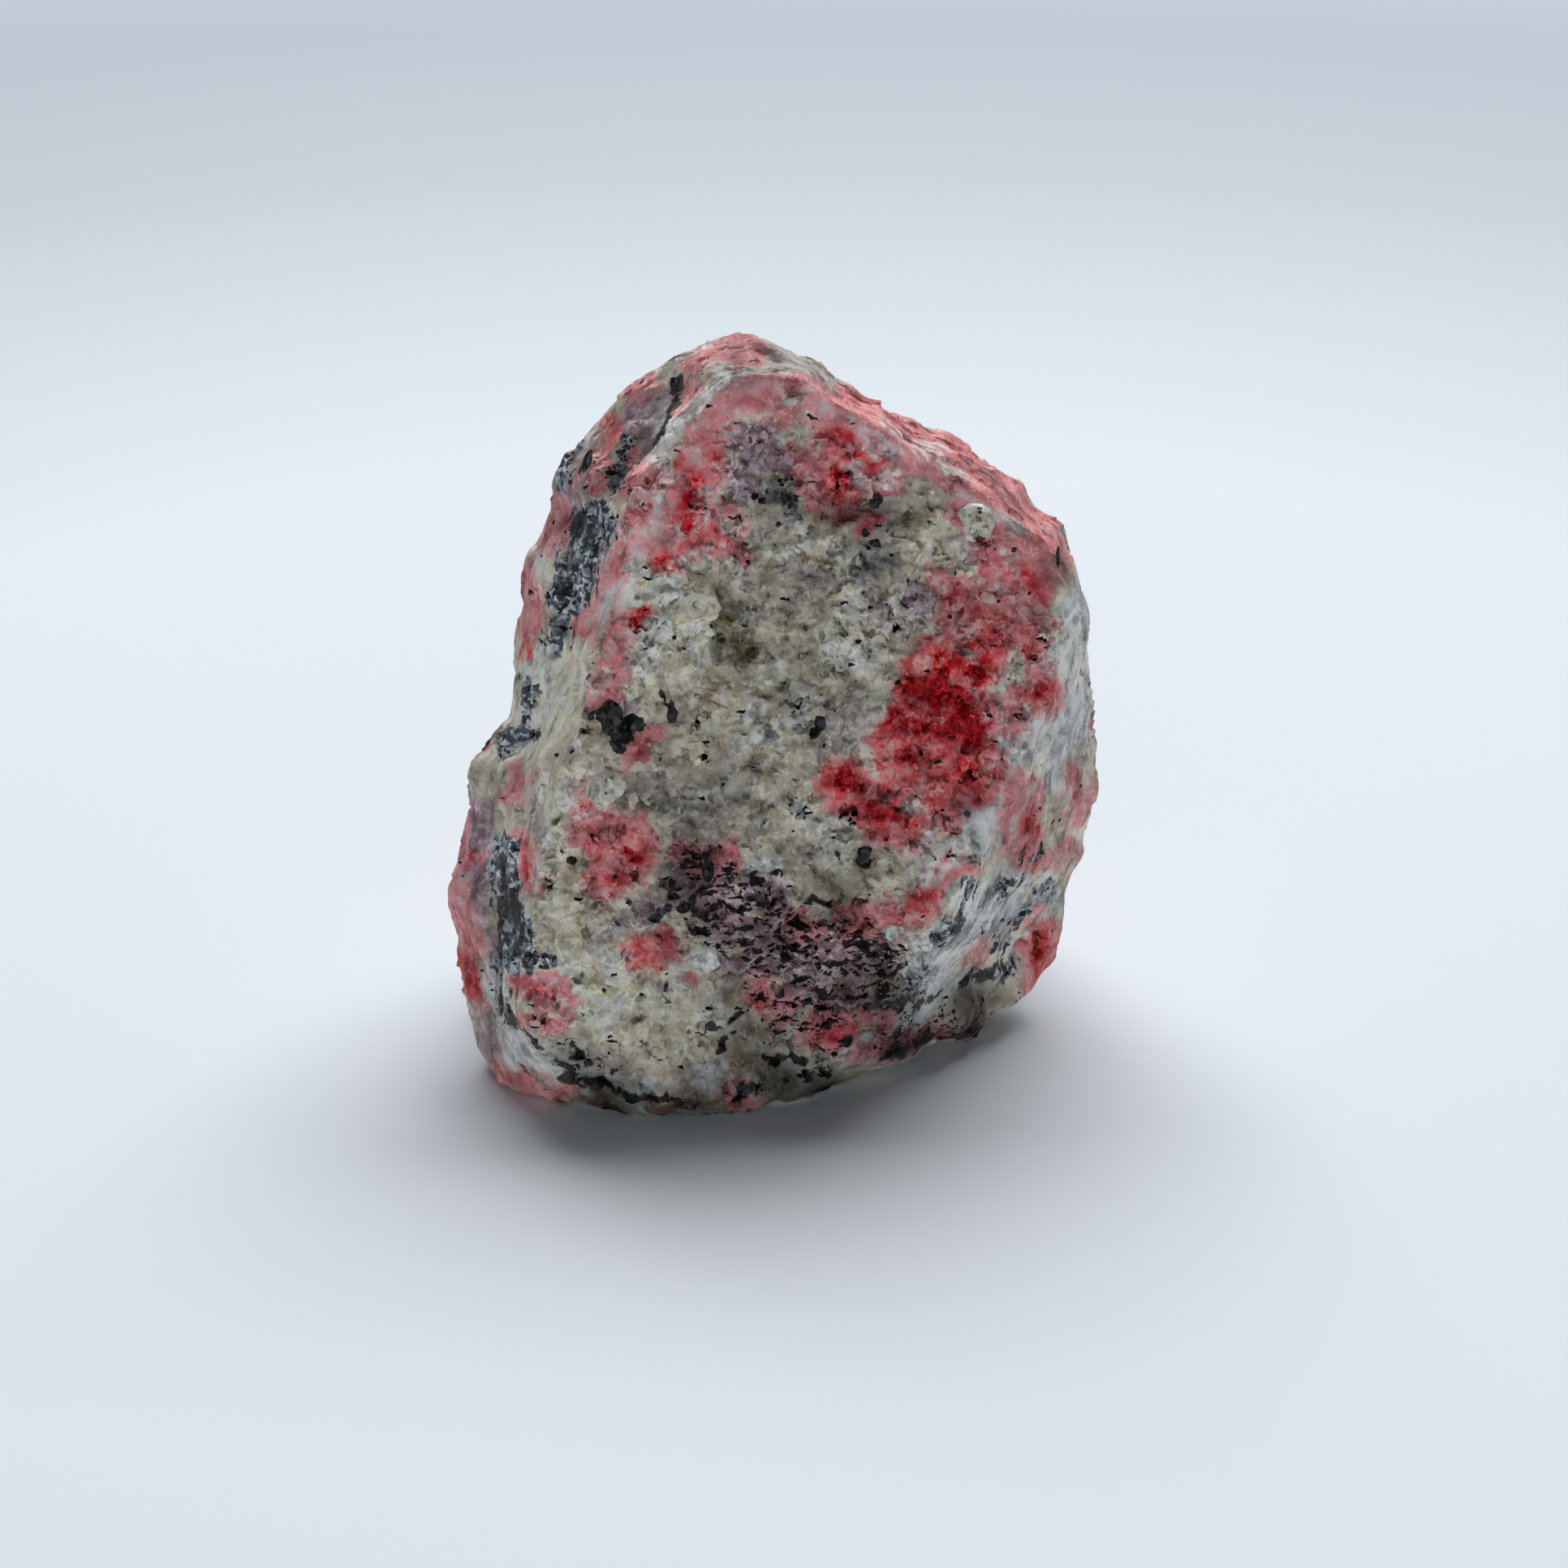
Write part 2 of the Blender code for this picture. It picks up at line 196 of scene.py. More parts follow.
# Dark streaks; those along the bottom edge are painted shade on the underside.
STROKES["soot_and_painted_shade"] = (
    (4, 836, 466, 820, 520, 804, 552), (6, 620, 1056, 624, 1130), (5, 636, 1100, 642, 1172),
    (4, 610, 1110, 616, 1180), (4, 730, 640, 696, 740), (4, 716, 640, 690, 700), (7, 1182, 1214, 1192, 1210),
    (6, 1202, 1203, 1214, 1196), (3, 1222, 1190, 1234, 1182), (4, 1218, 1169, 1236, 1163),
    (3, 1250, 1092, 1236, 1098), (6, 1090, 1234, 1112, 1228), (3, 1156, 1158, 1164, 1148),
    (3, 1170, 1142, 1180, 1130), (6, 1090, 1300, 1150, 1284, 1190, 1262), (5, 1200, 1270, 1232, 1250),
    (7, 905, 1356, 945, 1340), (5, 940, 1304, 990, 1308), (5, 985, 1330, 1020, 1316),
    (5, 770, 1350, 850, 1364), (4, 690, 1328, 740, 1342), (4, 664, 1296, 690, 1310, 705, 1322),
    (3, 625, 1240, 640, 1272, 662, 1296), (4, 708, 1290, 722, 1312), (3, 760, 1322, 772, 1302),
    (4, 796, 1131, 830, 1124, 872, 1126), (3, 818, 1104, 850, 1112), (4, 860, 1276, 900, 1262, 916, 1250),
    (4, 890, 1290, 905, 1276), (3, 905, 1122, 880, 1134), (4, 1000, 1108, 1022, 1111),
    (3, 1050, 1110, 1076, 1106), (3, 910, 1108, 960, 1112), (5, 735, 1340, 770, 1352),
    (3, 1120, 1236, 1136, 1230), (3, 1146, 1226, 1160, 1218), (5, 600, 1352, 700, 1366, 780, 1374),
)
STROKES["pepper"] = (
    (50, 880, 1126, 1000, 1170, 1076, 1200), (36, 950, 1236, 1006, 1250), (8, 690, 1296, 742, 1314),
    (28, 1090, 1222, 1112, 1230), (24, 1110, 1284, 1200, 1262), (20, 760, 590, 776, 560),
    (22, 850, 1058, 900, 1080),
)
STROKES["stain"] = (
    (9, 706, 1358, 742, 1358), (8, 690, 1352), (10, 800, 1368, 830, 1370),
)

# The same minerals where the front view doesn't reach: size of a patch in millimetres, how many times
# longer it is along the layers, the level of noise above which it shows, and the noise's own seed. Pink,
# rose and red have one seed, so that each lies inside the one before.
HIDDEN = {
    "pink": (9.0, 2.2, 0.12, 1.0),
    "rose": (9.0, 2.2, 0.3, 1.0),
    "red": (9.0, 2.2, 0.48, 1.0),
    "mauve": (7.0, 2.0, 0.34, 2.0),
    "grey": (6.0, 2.0, 0.4, 3.0),
    "sugar": (5.0, 1.5, 0.25, 4.0),
    "white": (8.0, 3.0, 0.16, 5.0),
    "cream": (7.0, 2.0, 0.2, 6.0),
    "beige": (7.0, 2.0, 0.3, 7.0),
    "olive_and_painted_shade": (5.0, 1.5, 0.45, 8.0),
    "dark": (5.0, 5.0, 0.42, 9.0),
    "frost": (4.0, 8.0, 0.5, 10.0),
    "soot_and_painted_shade": (4.0, 6.0, 0.6, 11.0),
    "pepper": (9.0, 2.0, 0.32, 12.0),
    "stain": (5.0, 1.5, 0.75, 13.0),
}
HIDDEN_DEPTH = 0.85  # depth inside a patch to a unit of noise, as a share of the patch size

# Hollows of the front view: right, down and radius in pixels, depth in millimetres.
HOLLOWS = (
    (764, 890, 34, 1.3), (1064, 1055, 22, 0.5), (882, 752, 26, 0.9), (905, 792, 34, 1.1),
    (1008, 898, 24, 0.6), (878, 838, 16, 0.5), (970, 590, 40, 0.8), (1086, 684, 28, 0.7),
    (1078, 976, 20, 0.6), (800, 975, 28, 0.7), (1130, 645, 16, 0.5), (940, 985, 26, 0.5),
    (872, 1112, 34, 0.5), (850, 1215, 18, 0.4), (1215, 715, 18, 0.4),
)

# Swells of the outline: right, down and radius in pixels, height in millimetres, less than 0 where lower.
SWELLS = (
    (700, 580, 60, 1.5), (650, 700, 50, 0.8), (570, 945, 45, 0.6), (552, 1105, 50, 0.7),
    (1050, 470, 60, -1.0), (1130, 515, 50, -0.5), (1290, 612, 40, -1.2), (1345, 985, 60, 0.7),
    (1255, 1222, 55, 2.2), (1190, 1262, 45, 1.2), (1230, 1246, 40, 1.5), (1088, 492, 45, -0.35),
)

# Places of the front view that show fine fibres, not grains: right, down and radius in pixels, share.
FIBRES = (
    (930, 482, 55, 1.0), (1000, 498, 60, 1.0), (1070, 522, 60, 1.0), (1140, 560, 60, 1.0),
    (1205, 602, 60, 1.0), (1268, 650, 60, 1.0), (1305, 715, 60, 1.0), (880, 505, 45, 0.9),
    (850, 560, 45, 0.9), (828, 620, 40, 0.8), (795, 668, 42, 0.8), (755, 730, 45, 0.9), (1262, 960, 45, 0.9),
    (1215, 1020, 50, 0.9), (1170, 1090, 60, 0.7), (1235, 1110, 60, 0.6), (1180, 1170, 60, 0.6),
    (1110, 1240, 55, 0.6), (1040, 1290, 50, 0.7), (680, 1315, 50, 0.8),
)

# Painted light and shade of the front view, with some of the stone's own tone: lighter where a face or
# crystal should catch more light, darker in hollows, on faces turned from the light and on the underside
# along the bottom. Right, down and radius in pixels, then how much lighter, in units of the light and tone
# step; less than 0 where darker.
PAINTED_LIGHT_AND_TONES = (
    (920, 540, 90, 0.9), (1066, 572, 60, 3.1), (845, 618, 90, 2.1), (712, 716, 70, 1.3), (660, 880, 70, 1.0),
    (712, 822, 60, 0.9), (825, 785, 95, 1.8), (888, 875, 60, 1.2), (1190, 812, 70, 1.8),
    (1190, 900, 60, 0.5), (1170, 720, 90, 0.3), (1152, 662, 50, 0.6), (1080, 710, 120, 0.3),
    (950, 900, 60, 0.6), (1004, 990, 55, 0.8), (1130, 1035, 65, 1.1), (630, 1060, 70, 0.9),
    (655, 1185, 50, 1.2), (900, 1225, 50, -0.6), (710, 985, 50, 0.9), (1245, 1175, 50, 0.4),
    (1130, 1232, 45, 0.1), (1250, 1050, 45, -0.4), (1005, 505, 45, 0.7), (1050, 1352, 60, -1.4),
    (820, 700, 50, 0.6), (780, 985, 40, -0.4), (1250, 935, 50, -0.4), (1100, 985, 45, 0.8),
    (1075, 1290, 50, -0.6), (775, 635, 45, 0.5), (1025, 630, 40, -0.9), (1135, 650, 70, -0.5),
    (1190, 755, 45, -0.8), (1250, 690, 45, 0.6), (1305, 700, 40, -0.8), (1300, 810, 60, 0.7),
    (660, 815, 50, 0.8), (1140, 1180, 60, 0.4), (1190, 1115, 50, 0.7), (1250, 990, 50, -0.3),
    (1085, 1055, 50, -0.5), (960, 570, 50, -0.5), (770, 1175, 50, 0.6), (1130, 970, 50, 0.5),
    (1190, 950, 50, 0.7), (770, 700, 40, 0.6), (1250, 930, 60, 0.6), (890, 640, 40, 0.7),
    (1210, 725, 60, 0.5), (1190, 985, 40, -0.8), (1075, 690, 50, -0.8), (710, 1296, 50, -0.7),
    (1190, 1050, 50, 0.4), (1010, 1172, 50, 1.2), (905, 1112, 42, 1.8), (950, 1230, 40, 0.5),
    (895, 452, 45, -0.4), (835, 530, 28, 0.5), (800, 590, 30, 0.5), (775, 660, 28, 0.4), (840, 742, 40, 0.5),
    (985, 682, 30, 0.5), (1045, 745, 30, 0.4), (1040, 812, 30, 0.6), (955, 832, 32, 0.4),
    (912, 858, 24, 0.4), (850, 925, 30, 0.6), (730, 1220, 100, 0.5), (625, 1110, 45, -0.4),
    (935, 452, 80, -0.45), (955, 632, 50, -0.65), (1070, 628, 50, -1.2), (888, 755, 60, -0.6),
    (975, 812, 80, -0.5), (1070, 812, 50, 0.5), (860, 950, 110, -0.6), (1080, 925, 50, 0.5),
    (840, 1050, 60, -0.8), (1000, 1060, 80, -0.3), (1035, 1108, 55, -0.9), (770, 575, 45, -0.4),
    (705, 640, 40, -0.5), (830, 1172, 50, -0.4), (835, 1100, 45, -1.0), (1080, 1240, 70, -0.8),
    (1195, 1232, 55, -1.2), (930, 1300, 70, -1.0), (1140, 1306, 75, -1.3), (755, 1366, 75, -1.3),
    (865, 1380, 80, -1.4), (985, 1354, 75, -1.5),
)

# Crystals of the front view: right, down, width and height in pixels, then degrees turned to the left.
# The large ones also say which mineral they are.
BLACK_CRYSTALS = (
    (746, 884, 42, 42, 20), (776, 896, 46, 50, -30), (760, 914, 40, 28, 0), (826, 876, 17, 24, 0),
    (816, 858, 7, 26, 25), (1012, 890, 16, 20, -20), (1000, 904, 20, 13, 15), (1064, 1055, 30, 29, 0),
    (1032, 1053, 7, 7, 0), (929, 1085, 24, 22, 10), (957, 1077, 13, 12, 0), (900, 1083, 11, 19, 20),
    (871, 1069, 14, 33, 8), (829, 1090, 16, 26, 15), (850, 1106, 12, 14, -20), (1078, 618, 18, 20, 0),
    (1066, 656, 10, 11, 0), (1076, 668, 12, 12, 30), (1068, 676, 8, 7, 0), (1082, 674, 7, 12, 0),
    (1098, 684, 6, 6, 0), (930, 612, 10, 13, 0), (938, 619, 13, 12, 40), (944, 606, 8, 6, 0),
    (958, 645, 8, 9, 0), (722, 575, 12, 38, -20), (832, 473, 12, 14, 0), (829, 484, 8, 16, -15),
    (704, 1061, 13, 13, 0), (1191, 1003, 9, 9, 0), (1045, 1278, 13, 23, -15), (1027, 1298, 10, 8, 0),
    (945, 1302, 13, 9, 0), (902, 1080, 6, 14, 30), (858, 1035, 6, 7, 0), (889, 1044, 8, 8, 20),
    (745, 1220, 6, 6, 0), (820, 1217, 5, 10, -15), (1118, 716, 5, 5, 0), (1128, 717, 5, 5, 0),
    (1064, 729, 4, 5, 0), (876, 772, 5, 6, 0), (928, 802, 5, 9, 20), (1170, 760, 6, 5, 0),
    (1016, 920, 5, 6, 0), (1230, 740, 5, 6, 0), (1303, 690, 5, 30, -5), (657, 905, 12, 10, 20),
)
LARGE_CRYSTALS = (
    (850, 744, 66, 62, 15, "cream"), (826, 806, 66, 60, -10, "cream"), (912, 858, 48, 44, 0, "cream"),
    (878, 884, 36, 38, 10, "cream"), (853, 926, 46, 40, -20, "cream"), (1156, 656, 54, 52, 25, "cream"),
    (1162, 690, 50, 40, 0, "cream"), (1200, 646, 42, 44, -20, "feldspar"), (780, 848, 30, 30, 10, "cream"),
    (742, 972, 52, 46, 20, "feldspar"), (800, 990, 46, 26, -10, "feldspar"),
    (776, 988, 26, 30, 30, "feldspar"), (1018, 836, 52, 40, 0, "feldspar"), (944, 904, 32, 30, 0, "grey"),
    (1132, 740, 36, 40, 0, "mauve"), (895, 652, 34, 40, 0, "feldspar"), (916, 689, 20, 24, 0, "pink"),
    (870, 1180, 38, 34, 10, "white"), (948, 1070, 30, 12, 8, "white"), (1106, 1150, 26, 22, 0, "white"),
)
DEEPEST = 4.0  # depths into a patch past this are all the same
CUTS = (0.6, 0.85)  # how far from a lump's middle its faces may lie, as shares of its radius

# The edges of the strokes wander: reach in pixels and size in millimetres, for wide and for narrow curves.
WIDE_CURVE = (9.0, 3.4)
NARROW_CURVE = (5.0, 1.3)

# Fades. The first four go by how far the surface turns to the view, from -1 to 1; FACE_FADE goes by how
# far it turns along the layers' normal, and SOLE_FADE by how far it turns down.
FRONT_FADE = (0.1, 0.4)
SWELL_FADE = (-0.8, -0.3)
SEEN_FADE = (-0.2, 0.15)
RELIEF_FADE = (-0.4, 0.1)
FACE_FADE = (0.62, 0.88)
SOLE_FADE = (0.6, 0.95)

# Colours of the minerals, from the low places of their mottling to the high: level, red, green, blue.
COLOURS = {
    "feldspar": (
        (0.1, 0.46, 0.36, 0.24), (0.38, 0.66, 0.56, 0.42),
        (0.6, 0.82, 0.73, 0.58), (0.85, 0.95, 0.89, 0.77),
    ),
    "clear": (
        (0.1, 0.42, 0.36, 0.28), (0.45, 0.66, 0.585, 0.48),
        (0.65, 0.82, 0.75, 0.64), (0.85, 0.95, 0.9, 0.82),
    ),
    "cream": ((0.2, 0.57, 0.49, 0.33), (0.5, 0.81, 0.72, 0.54), (0.8, 0.96, 0.89, 0.75)),
    "white": ((0.2, 0.34, 0.34, 0.32), (0.48, 0.76, 0.75, 0.72), (0.75, 0.97, 0.96, 0.94)),
    "grey": ((0.2, 0.15, 0.14, 0.14), (0.5, 0.34, 0.32, 0.31), (0.8, 0.64, 0.61, 0.59)),
    "sugar": ((0.2, 0.62, 0.56, 0.45), (0.5, 0.86, 0.8, 0.68), (0.8, 0.97, 0.93, 0.84)),
    "beige": ((0.2, 0.34, 0.27, 0.23), (0.5, 0.56, 0.48, 0.43), (0.8, 0.78, 0.71, 0.66)),
    "olive_and_painted_shade": ((0.2, 0.12, 0.09, 0.045), (0.8, 0.42, 0.37, 0.23)),
    "mauve": ((0.25, 0.2, 0.11, 0.12), (0.5, 0.4, 0.27, 0.29), (0.75, 0.68, 0.54, 0.57)),
    "pink": (
        (0.2, 0.54, 0.17, 0.17), (0.4, 0.74, 0.235, 0.24),
        (0.58, 0.87, 0.35, 0.35), (0.78, 0.95, 0.53, 0.51),
    ),
    "rose": (
        (0.2, 0.52, 0.05, 0.055), (0.42, 0.72, 0.12, 0.125),
        (0.6, 0.84, 0.215, 0.215), (0.8, 0.93, 0.4, 0.37),
    ),
    "red": (
        (0.2, 0.22, 0.002, 0.006), (0.45, 0.48, 0.006, 0.012),
        (0.6, 0.66, 0.04, 0.045), (0.8, 0.82, 0.25, 0.24),
    ),
    "dark": (
        (0.26, 0.016, 0.017, 0.019), (0.42, 0.085, 0.092, 0.105),
        (0.56, 0.22, 0.24, 0.265), (0.7, 0.58, 0.62, 0.66),
    ),
    "soot_and_painted_shade": ((0.3, 0.012, 0.011, 0.011), (0.8, 0.12, 0.115, 0.11)),
}
BRUISE_AND_GLINT = (0.9, 0.86, 0.84, 1.0)
STAIN = (0.16, 0.055, 0.015, 1.0)
SMOKE = (0.14, 0.065, 0.075, 1.0)
FLECK = (0.014, 0.011, 0.012, 1.0)
GRIME = (0.16, 0.13, 0.09, 1.0)
THREAD = (0.13, 0.12, 0.11, 1.0)
LIGHTEST = (0.96, 0.92, 0.84)  # no place gets lighter than this by its painted light and tone
PAINTED_LIGHT_AND_TONE_STEP = 0.55

# Lamps: places and sizes in metres. Both point at the stone.
OVERHEAD_PLACE = (0.16, 1.12, 1.6)
OVERHEAD_SIZE = (2.3, 1.0)
FRONT_PLACE = (-0.1, -1.2, 0.22)
FRONT_SIZE = (1.4, 0.4)

# The floor: distance from the stone in metres, then its colour, which darkens farther out as painted shade,
# and how much light it gives off itself. It gives off a little, far from the stone, so that it stays pale
# from every side.
FLOOR_SIZE = 24.0
FLOOR_COLOUR_WITH_PAINTED_SHADE = (
    (0.14, 0.85, 0.89, 0.93), (0.22, 0.7, 0.745, 0.79), (0.3, 0.57, 0.61, 0.66), (0.42, 0.48, 0.52, 0.57),
)
GLOW_REACH = 4.0  # the glow's places are shares of this distance
FLOOR_GLOW = (
    (0.11, 0.0, 0.0, 0.0), (0.17, 0.1, 0.11, 0.12), (0.25, 0.24, 0.265, 0.29),
    (0.45, 0.43, 0.475, 0.52), (0.75, 0.52, 0.575, 0.635),
)


# --- places ---


def view_axes():
    """The front view's directions: to the right, up and ahead."""
    ahead = Vector((0.0, math.cos(VIEW_RISE), -math.sin(VIEW_RISE)))
    across = Vector((1.0, 0.0, 0.0))
    return across, across.cross(ahead), ahead


def view_place():
    return VIEW_TARGET - view_axes()[2] * VIEW_REACH


def seen_at(points):
    """Where points, in metres, are seen in the front view: pixels to the right and down."""
    across, up, ahead = (np.array(axis) for axis in view_axes())
    offset = points - np.array(view_place())
    scale = VIEW_SCALE / (offset @ ahead)
    return VIEW_PIXELS / 2 + scale * (offset @ across), VIEW_PIXELS / 2 - scale * (offset @ up)


def view_ray(right, down):
    """The direction in which the front view sees a pixel."""
    across, up, ahead = view_axes()
    slope = (right - VIEW_PIXELS / 2) / VIEW_SCALE
    rise = (VIEW_PIXELS / 2 - down) / VIEW_SCALE
    return (ahead + across * slope + up * rise).normalized()


def smoothstep(low, high, values):
    """0 at low, 1 at high, and an even curve between them; low may lie above high."""
    share = np.clip((values - low) / (high - low), 0.0, 1.0)
    return share * share * (3.0 - 2.0 * share)


# --- mesh tools ---


def only(*pieces):
    """Selects these objects and nothing else, and makes the first one active."""
    if bpy.context.object and bpy.context.object.mode != "OBJECT":
        bpy.ops.object.mode_set(mode="OBJECT")
    bpy.ops.object.select_all(action="DESELECT")
    for piece in pieces:
        piece.select_set(True)
    bpy.context.view_layer.objects.active = pieces[0]


def apply(piece, modifier):
    only(piece)
    bpy.ops.object.modifier_apply(modifier=modifier.name)


def corners(mesh):
    """The mesh's points as rows, in metres."""
    flat = np.empty(len(mesh.vertices) * 3)
    mesh.vertices.foreach_get("co", flat)
    return flat.reshape(-1, 3)


def normals(mesh):
    flat = np.empty(len(mesh.vertices) * 3, np.float32)
    mesh.vertex_normals.foreach_get("vector", flat)
    return flat.reshape(-1, 3).astype(float)


def unit(rows):
    """Rows as directions of length 1."""
    return rows / np.linalg.norm(rows, axis=1)[:, None]


def eased(mesh, rows, rounds):
    """Rows of values at the mesh's points, averaged with their neighbours' again and again."""
    ends = np.empty(len(mesh.edges) * 2, np.int32)
    mesh.edges.foreach_get("vertices", ends)
    first, second = ends.reshape(-1, 2).T
    counts = np.bincount(ends, minlength=len(rows)) + 1.0
    for _ in range(rounds):
        total = rows.copy()
        for column in range(rows.shape[1]):
            total[:, column] += np.bincount(first, rows[second, column], len(rows))
            total[:, column] += np.bincount(second, rows[first, column], len(rows))
        rows = total / counts[:, None]
    return rows


def store(mesh, name, values):
    """Keeps values at the mesh's points under a name that materials can read."""
    kind = "FLOAT_VECTOR" if values.ndim > 1 else "FLOAT"
    kept = mesh.attributes.new(name, kind, "POINT")
    kept.data.foreach_set("vector" if values.ndim > 1 else "value", values.astype(np.float32).ravel())


# --- node tools, for materials and for geometry nodes ---


def fill(socket, value):
    """Links or sets a socket; None leaves it alone."""
    if isinstance(value, bpy.types.NodeSocket):
        socket.id_data.links.new(value, socket)
    elif value is not None:
        socket.default_value = value


def put(kind, values=(), tree=None, **settings):
    """Adds a node to the tree given, or to the one that its values come from.

    Settings are the node's options; values go to its sockets in order.
    """
    tree = tree or next(value.id_data for value in values if isinstance(value, bpy.types.NodeSocket))
    made = tree.nodes.new(kind)
    for option, setting in settings.items():
        setattr(made, option, setting)
    for socket, value in zip(made.inputs, values):
        fill(socket, value)
    return made


def sums(operation, *values):
    return put("ShaderNodeMath", values, operation=operation).outputs[0]


def times(first, second):
    return sums("MULTIPLY", first, second)


def scaled(value, factor, more):
    """A value times a factor, plus some more."""
    return sums("MULTIPLY_ADD", value, factor, more)


def vectors(operation, first, second=None, scale=None):
    made = put("ShaderNodeVectorMath", (first, second, None, scale), operation=operation)
    return made.outputs["Value" if operation == "DOT_PRODUCT" else "Vector"]


def step(value, low, high, start=0.0, end=1.0):
    """Start below low, end above high, and an even curve between them."""
    values = (value, low, high, start, end)
    return put("ShaderNodeMapRange", values, interpolation_type="SMOOTHSTEP").outputs[0]


def mix(share, first, second):
    """Blends two colours."""
    values = (share, None, None, None, None, None, first, second)
    return put("ShaderNodeMix", values, data_type="RGBA").outputs[2]


def clouds(place, size, detail, rough=0.55):
    """Fractal noise from 0 to 1, its patches about the size given."""
    return put("ShaderNodeTexNoise", (place, None, 1.0 / size, detail, rough))


def cells(place, size, feature="F1"):
    """Voronoi cells about the size given."""
    return put("ShaderNodeTexVoronoi", (place, None, 1.0 / size), feature=feature)


def part_of(vector, axis):
    return put("ShaderNodeSeparateXYZ", (vector,)).outputs[axis]


def level_of(pattern, axis):
    """One of the three levels, from 0 to 1, of a pattern's cell or place."""
    return part_of(pattern.outputs["Color"], axis)


def ramp(share, stops):
    """Colours at places from 0 to 1, blended evenly. A stop is its place, then red, green and blue."""
    made = put("ShaderNodeValToRGB", (share,))
    elements = made.color_ramp.elements
    while len(elements) < len(stops):
        elements.new(1.0)
    for element, (place, *colour) in zip(elements, stops):
        element.position = place
        element.color = (*colour, 1.0)
    return made.outputs["Color"]


def drawn_out(place, run):
    """A place squeezed along the layers, so that a pattern on it runs that many times longer there."""
    across = vectors("DOT_PRODUCT", place, tuple(LAYER_NORMAL))
    thick = vectors("SCALE", tuple(LAYER_NORMAL), scale=across)
    along = vectors("SUBTRACT", place, thick)
    return vectors("ADD", vectors("SCALE", along, scale=1.0 / run), thick)


def facets(place, size, slope, level):
    """Height of flat-faced grains, each with its own tilt and its own level, in the place's own unit."""
    grain = cells(place, size)
    shake = vectors("SUBTRACT", grain.outputs["Color"], (0.5, 0.5, 0.5))
    offset = vectors("SUBTRACT", place, grain.outputs["Position"])
    tilt = times(vectors("DOT_PRODUCT", offset, shake), slope)
    own = times(part_of(shake, 0), level)
    return sums("ADD", tilt, own)


# --- minerals of the stone ---


def stroke_depth(right, down, stroke):
    """How deep inside a stroke each point is, in millimetres; less than 0 outside."""
    half_width, *numbers = stroke
    line = list(zip(numbers[::2], numbers[1::2]))
    nearest = np.full(len(right), np.inf)
    for start, end in zip(line, line[1:] or line):
        run = np.subtract(end, start).astype(float)
        share = ((right - start[0]) * run[0] + (down - start[1]) * run[1]) / max(run @ run, 1.0)
        share = np.clip(share, 0.0, 1.0)
        gap = np.hypot(right - start[0] - share * run[0], down - start[1] - share * run[1])
        nearest = np.minimum(nearest, gap)
    return (half_width - nearest) * PIXEL


def layered_noise(places, size, run, seed):
    """Noise at places in millimetres, its patches drawn out along the layers."""
    normal = np.array(LAYER_NORMAL)
    across = np.outer(places @ normal, normal)
    squeezed = ((places - across) / run + across) / size + seed
    coarse = [noise.noise(Vector(row)) for row in squeezed]
    fine = [noise.noise(Vector(row)) for row in squeezed * 2.7]
    return np.array(coarse) + 0.45 * np.array(fine)


def wander(places, size, seed):
    return np.array([noise.noise(Vector(row)) for row in places / size + seed])


def shaken(places, wide_seed, narrow_seed):
    """How far the edges of the strokes wander at places in millimetres, in pixels."""
    (wide_reach, wide_size), (narrow_reach, narrow_size) = WIDE_CURVE, NARROW_CURVE
    wide = wide_reach * wander(places, wide_size, wide_seed)
    return wide + narrow_reach * wander(places, narrow_size, narrow_seed)


def minerals(mesh, facing):
    """Keeps on the mesh how deep each point lies in a patch of each mineral, in millimetres."""
    places = corners(mesh) / MM
    right, down = seen_at(places * MM)
    right += shaken(places, wide_seed=11.0, narrow_seed=5.0)
    down += shaken(places, wide_seed=23.0, narrow_seed=8.0)
    # The front view gives way to the hidden sides along a ragged line.
    ragged = facing + 0.45 * wander(places, 3.0, 17.0) + 0.25 * wander(places, 1.2, 29.0)
    seen = smoothstep(*SEEN_FADE, ragged)
    near = seen > 0.0
    for mineral, strokes in STROKES.items():
        size, run, share, seed = HIDDEN[mineral]
        depth = (layered_noise(places, size, run, 31.0 * seed) - share) * size * HIDDEN_DEPTH
        placed = np.full(near.sum(), -DEEPEST)
        for stroke in strokes:
            placed = np.maximum(placed, stroke_depth(right[near], down[near], stroke))
        depth[near] += seen[near] * (placed - depth[near])
        store(mesh, mineral, np.clip(depth, -DEEPEST, DEEPEST))


def bumps(mesh, places):
    """How far each point lies in round bumps of the front view, in millimetres."""
    right, down = seen_at(corners(mesh))
    height = np.zeros(len(right))
    for middle_right, middle_down, radius, most in places:
        gap = np.hypot(right - middle_right, down - middle_down) / radius
        height += most * smoothstep(1.0, 0.2, gap)
    return height


